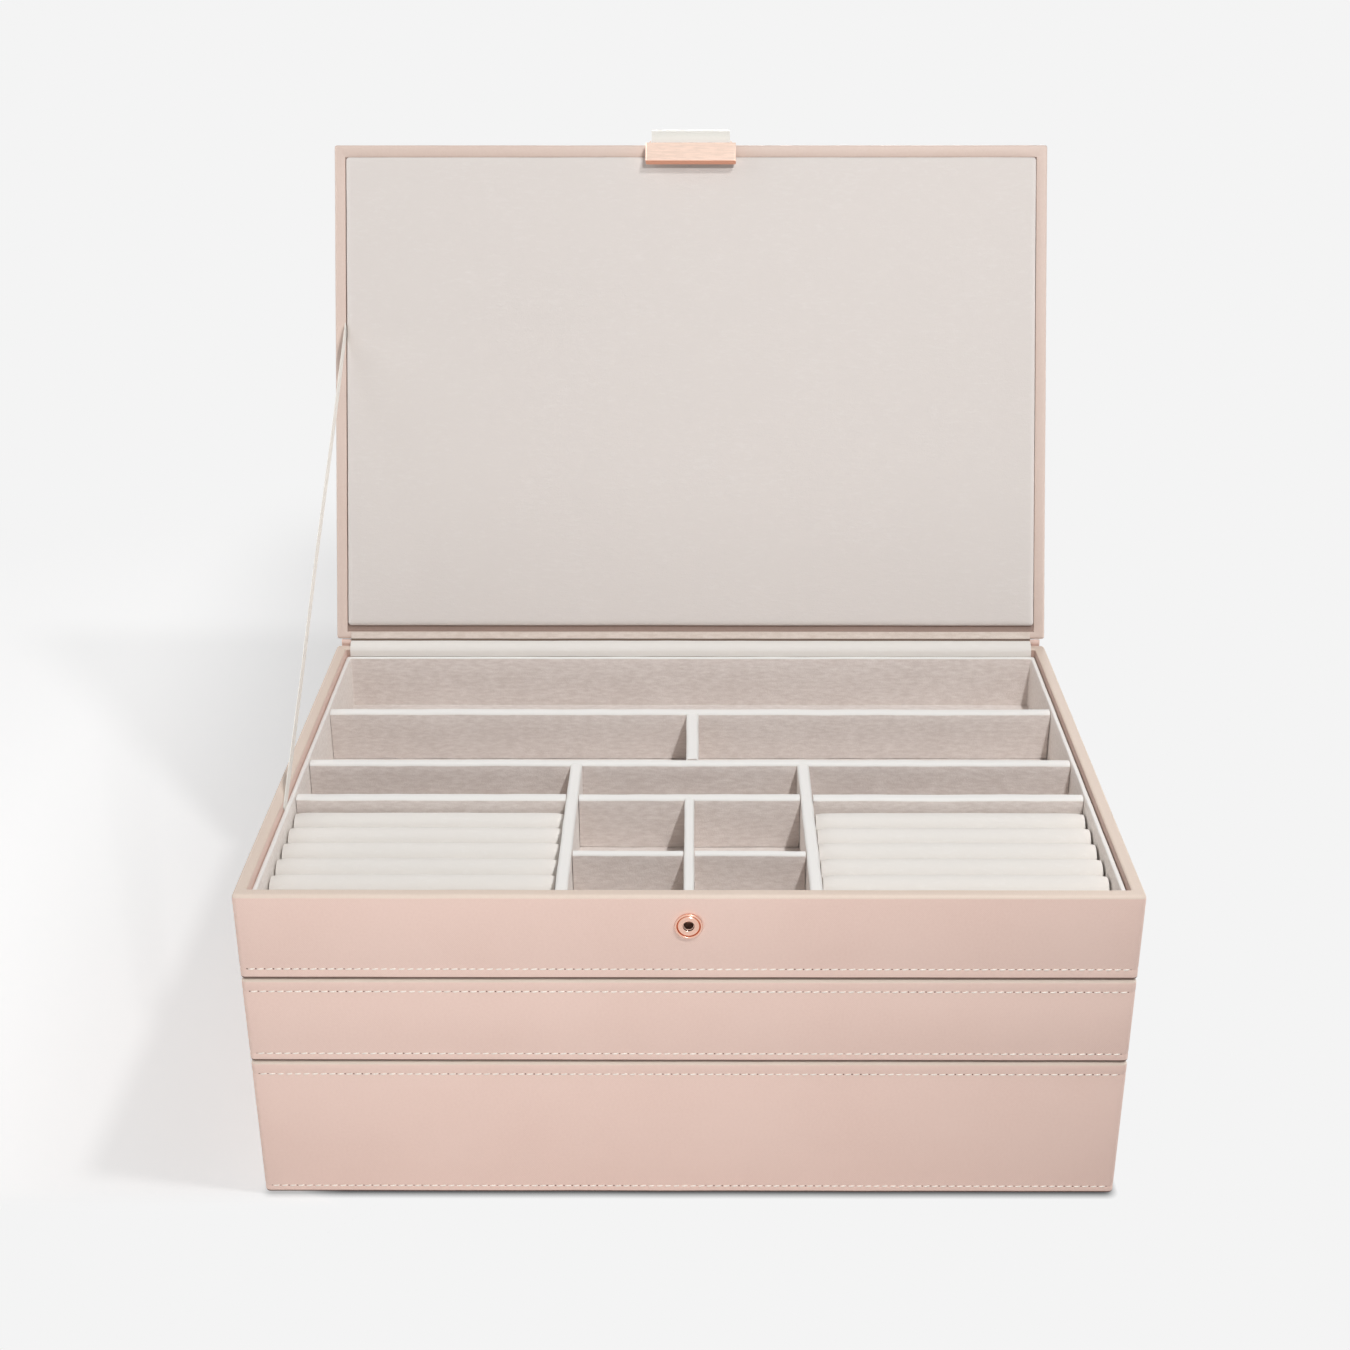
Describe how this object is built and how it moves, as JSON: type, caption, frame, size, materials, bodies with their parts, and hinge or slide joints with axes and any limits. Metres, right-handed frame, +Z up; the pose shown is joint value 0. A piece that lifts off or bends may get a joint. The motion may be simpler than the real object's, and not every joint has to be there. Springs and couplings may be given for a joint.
{
  "type": "tiered jewelry box",
  "caption": "Stack of three leather-covered trays with suede-lined cells and ring rolls, under a padded hinged lid held open by a ribbon stay and shut by a snap tab.",
  "frame": {"origin": "centre of the footprint, on the underside of the base felt, so the box stands on Z = 0", "axes": "+Z up, -Y is the front with the snap socket, +X is the right-hand side seen from the front; the lid is hinged along X at the back and stands open past vertical at rest"},
  "size_m": [0.375, 0.3793, 0.401],
  "materials": {
    "leather": "cross-hatch grained blush leather, matt sheen",
    "tab_leather": "smooth cream leather",
    "suede": "short-nap greige suede",
    "roll_suede": "short-nap pale suede",
    "ribbon": "woven ivory ribbon",
    "rose_metal": "polished rose-gold plate",
    "dark_steel": "dark spring wire",
    "felt": "taupe base felt"
  },
  "bodies": {
    "bottom_tray": {"base_felt": "felt", "bottom_carcass": "leather", "bottom_liner": "suede", "bottom_divider_left": "suede", "bottom_divider_right": "suede"},
    "middle_tray": {"middle_plinth": "suede", "middle_carcass": "leather", "middle_liner": "suede", "middle_divider_row": "suede", "middle_divider_back": "suede", "middle_divider_left": "suede", "middle_divider_right": "suede"},
    "top_tray": {"top_plinth": "suede", "top_carcass": "leather", "top_liner": "suede", "top_divider_back": "suede", "top_divider_second": "suede", "top_divider_short": "suede", "top_divider_left": "suede", "top_divider_right": "suede", "top_divider_third_left": "suede", "top_divider_third_centre": "suede", "top_divider_third_right": "suede", "top_divider_centre": "suede", "top_divider_fourth_left": "suede", "top_divider_fourth_right": "suede", "ring_roll_left_1": "roll_suede", "ring_roll_left_2": "roll_suede", "ring_roll_left_3": "roll_suede", "ring_roll_left_4": "roll_suede", "ring_roll_left_5": "roll_suede", "ring_roll_left_6": "roll_suede", "ring_roll_right_1": "roll_suede", "ring_roll_right_2": "roll_suede", "ring_roll_right_3": "roll_suede", "ring_roll_right_4": "roll_suede", "ring_roll_right_5": "roll_suede", "ring_roll_right_6": "roll_suede", "snap_socket": "rose_metal", "snap_spring": "dark_steel", "hinge_spine": "leather", "hinge_strip": "suede"},
    "lid": {"lid_panel": "leather", "lid_pad": "suede", "ribbon_stay": "ribbon", "tab_strap": "tab_leather"},
    "clasp": {"tab_sleeve": "rose_metal", "snap_stud": "rose_metal"}
  },
  "joints": [
    {"name": "middle_tray_lift", "type": "slide", "parent": "bottom_tray", "child": "middle_tray", "axis": [0, 0, 1], "range_m": [0, 0.06]},
    {"name": "top_tray_lift", "type": "slide", "parent": "middle_tray", "child": "top_tray", "axis": [0, 0, 1], "range_m": [0, 0.06]},
    {"name": "lid_hinge", "type": "hinge", "parent": "top_tray", "child": "lid", "pos_m": [0, 0.1306, 0.1543], "axis": [1, 0, 0], "range_deg": [0, 113.65], "deforming": ["hinge_spine", "hinge_strip", "ribbon_stay"]},
    {"name": "tab_swing", "type": "hinge", "parent": "lid", "child": "clasp", "pos_m": [0, 0.23219, 0.40173], "axis": [1, 0, 0], "range_deg": [-73.65, 0], "deforming": ["tab_strap"]}
  ],
  "couplings": [
    {"joint": "tab_swing", "follows": "lid_hinge", "ratio": -0.648}
  ]
}
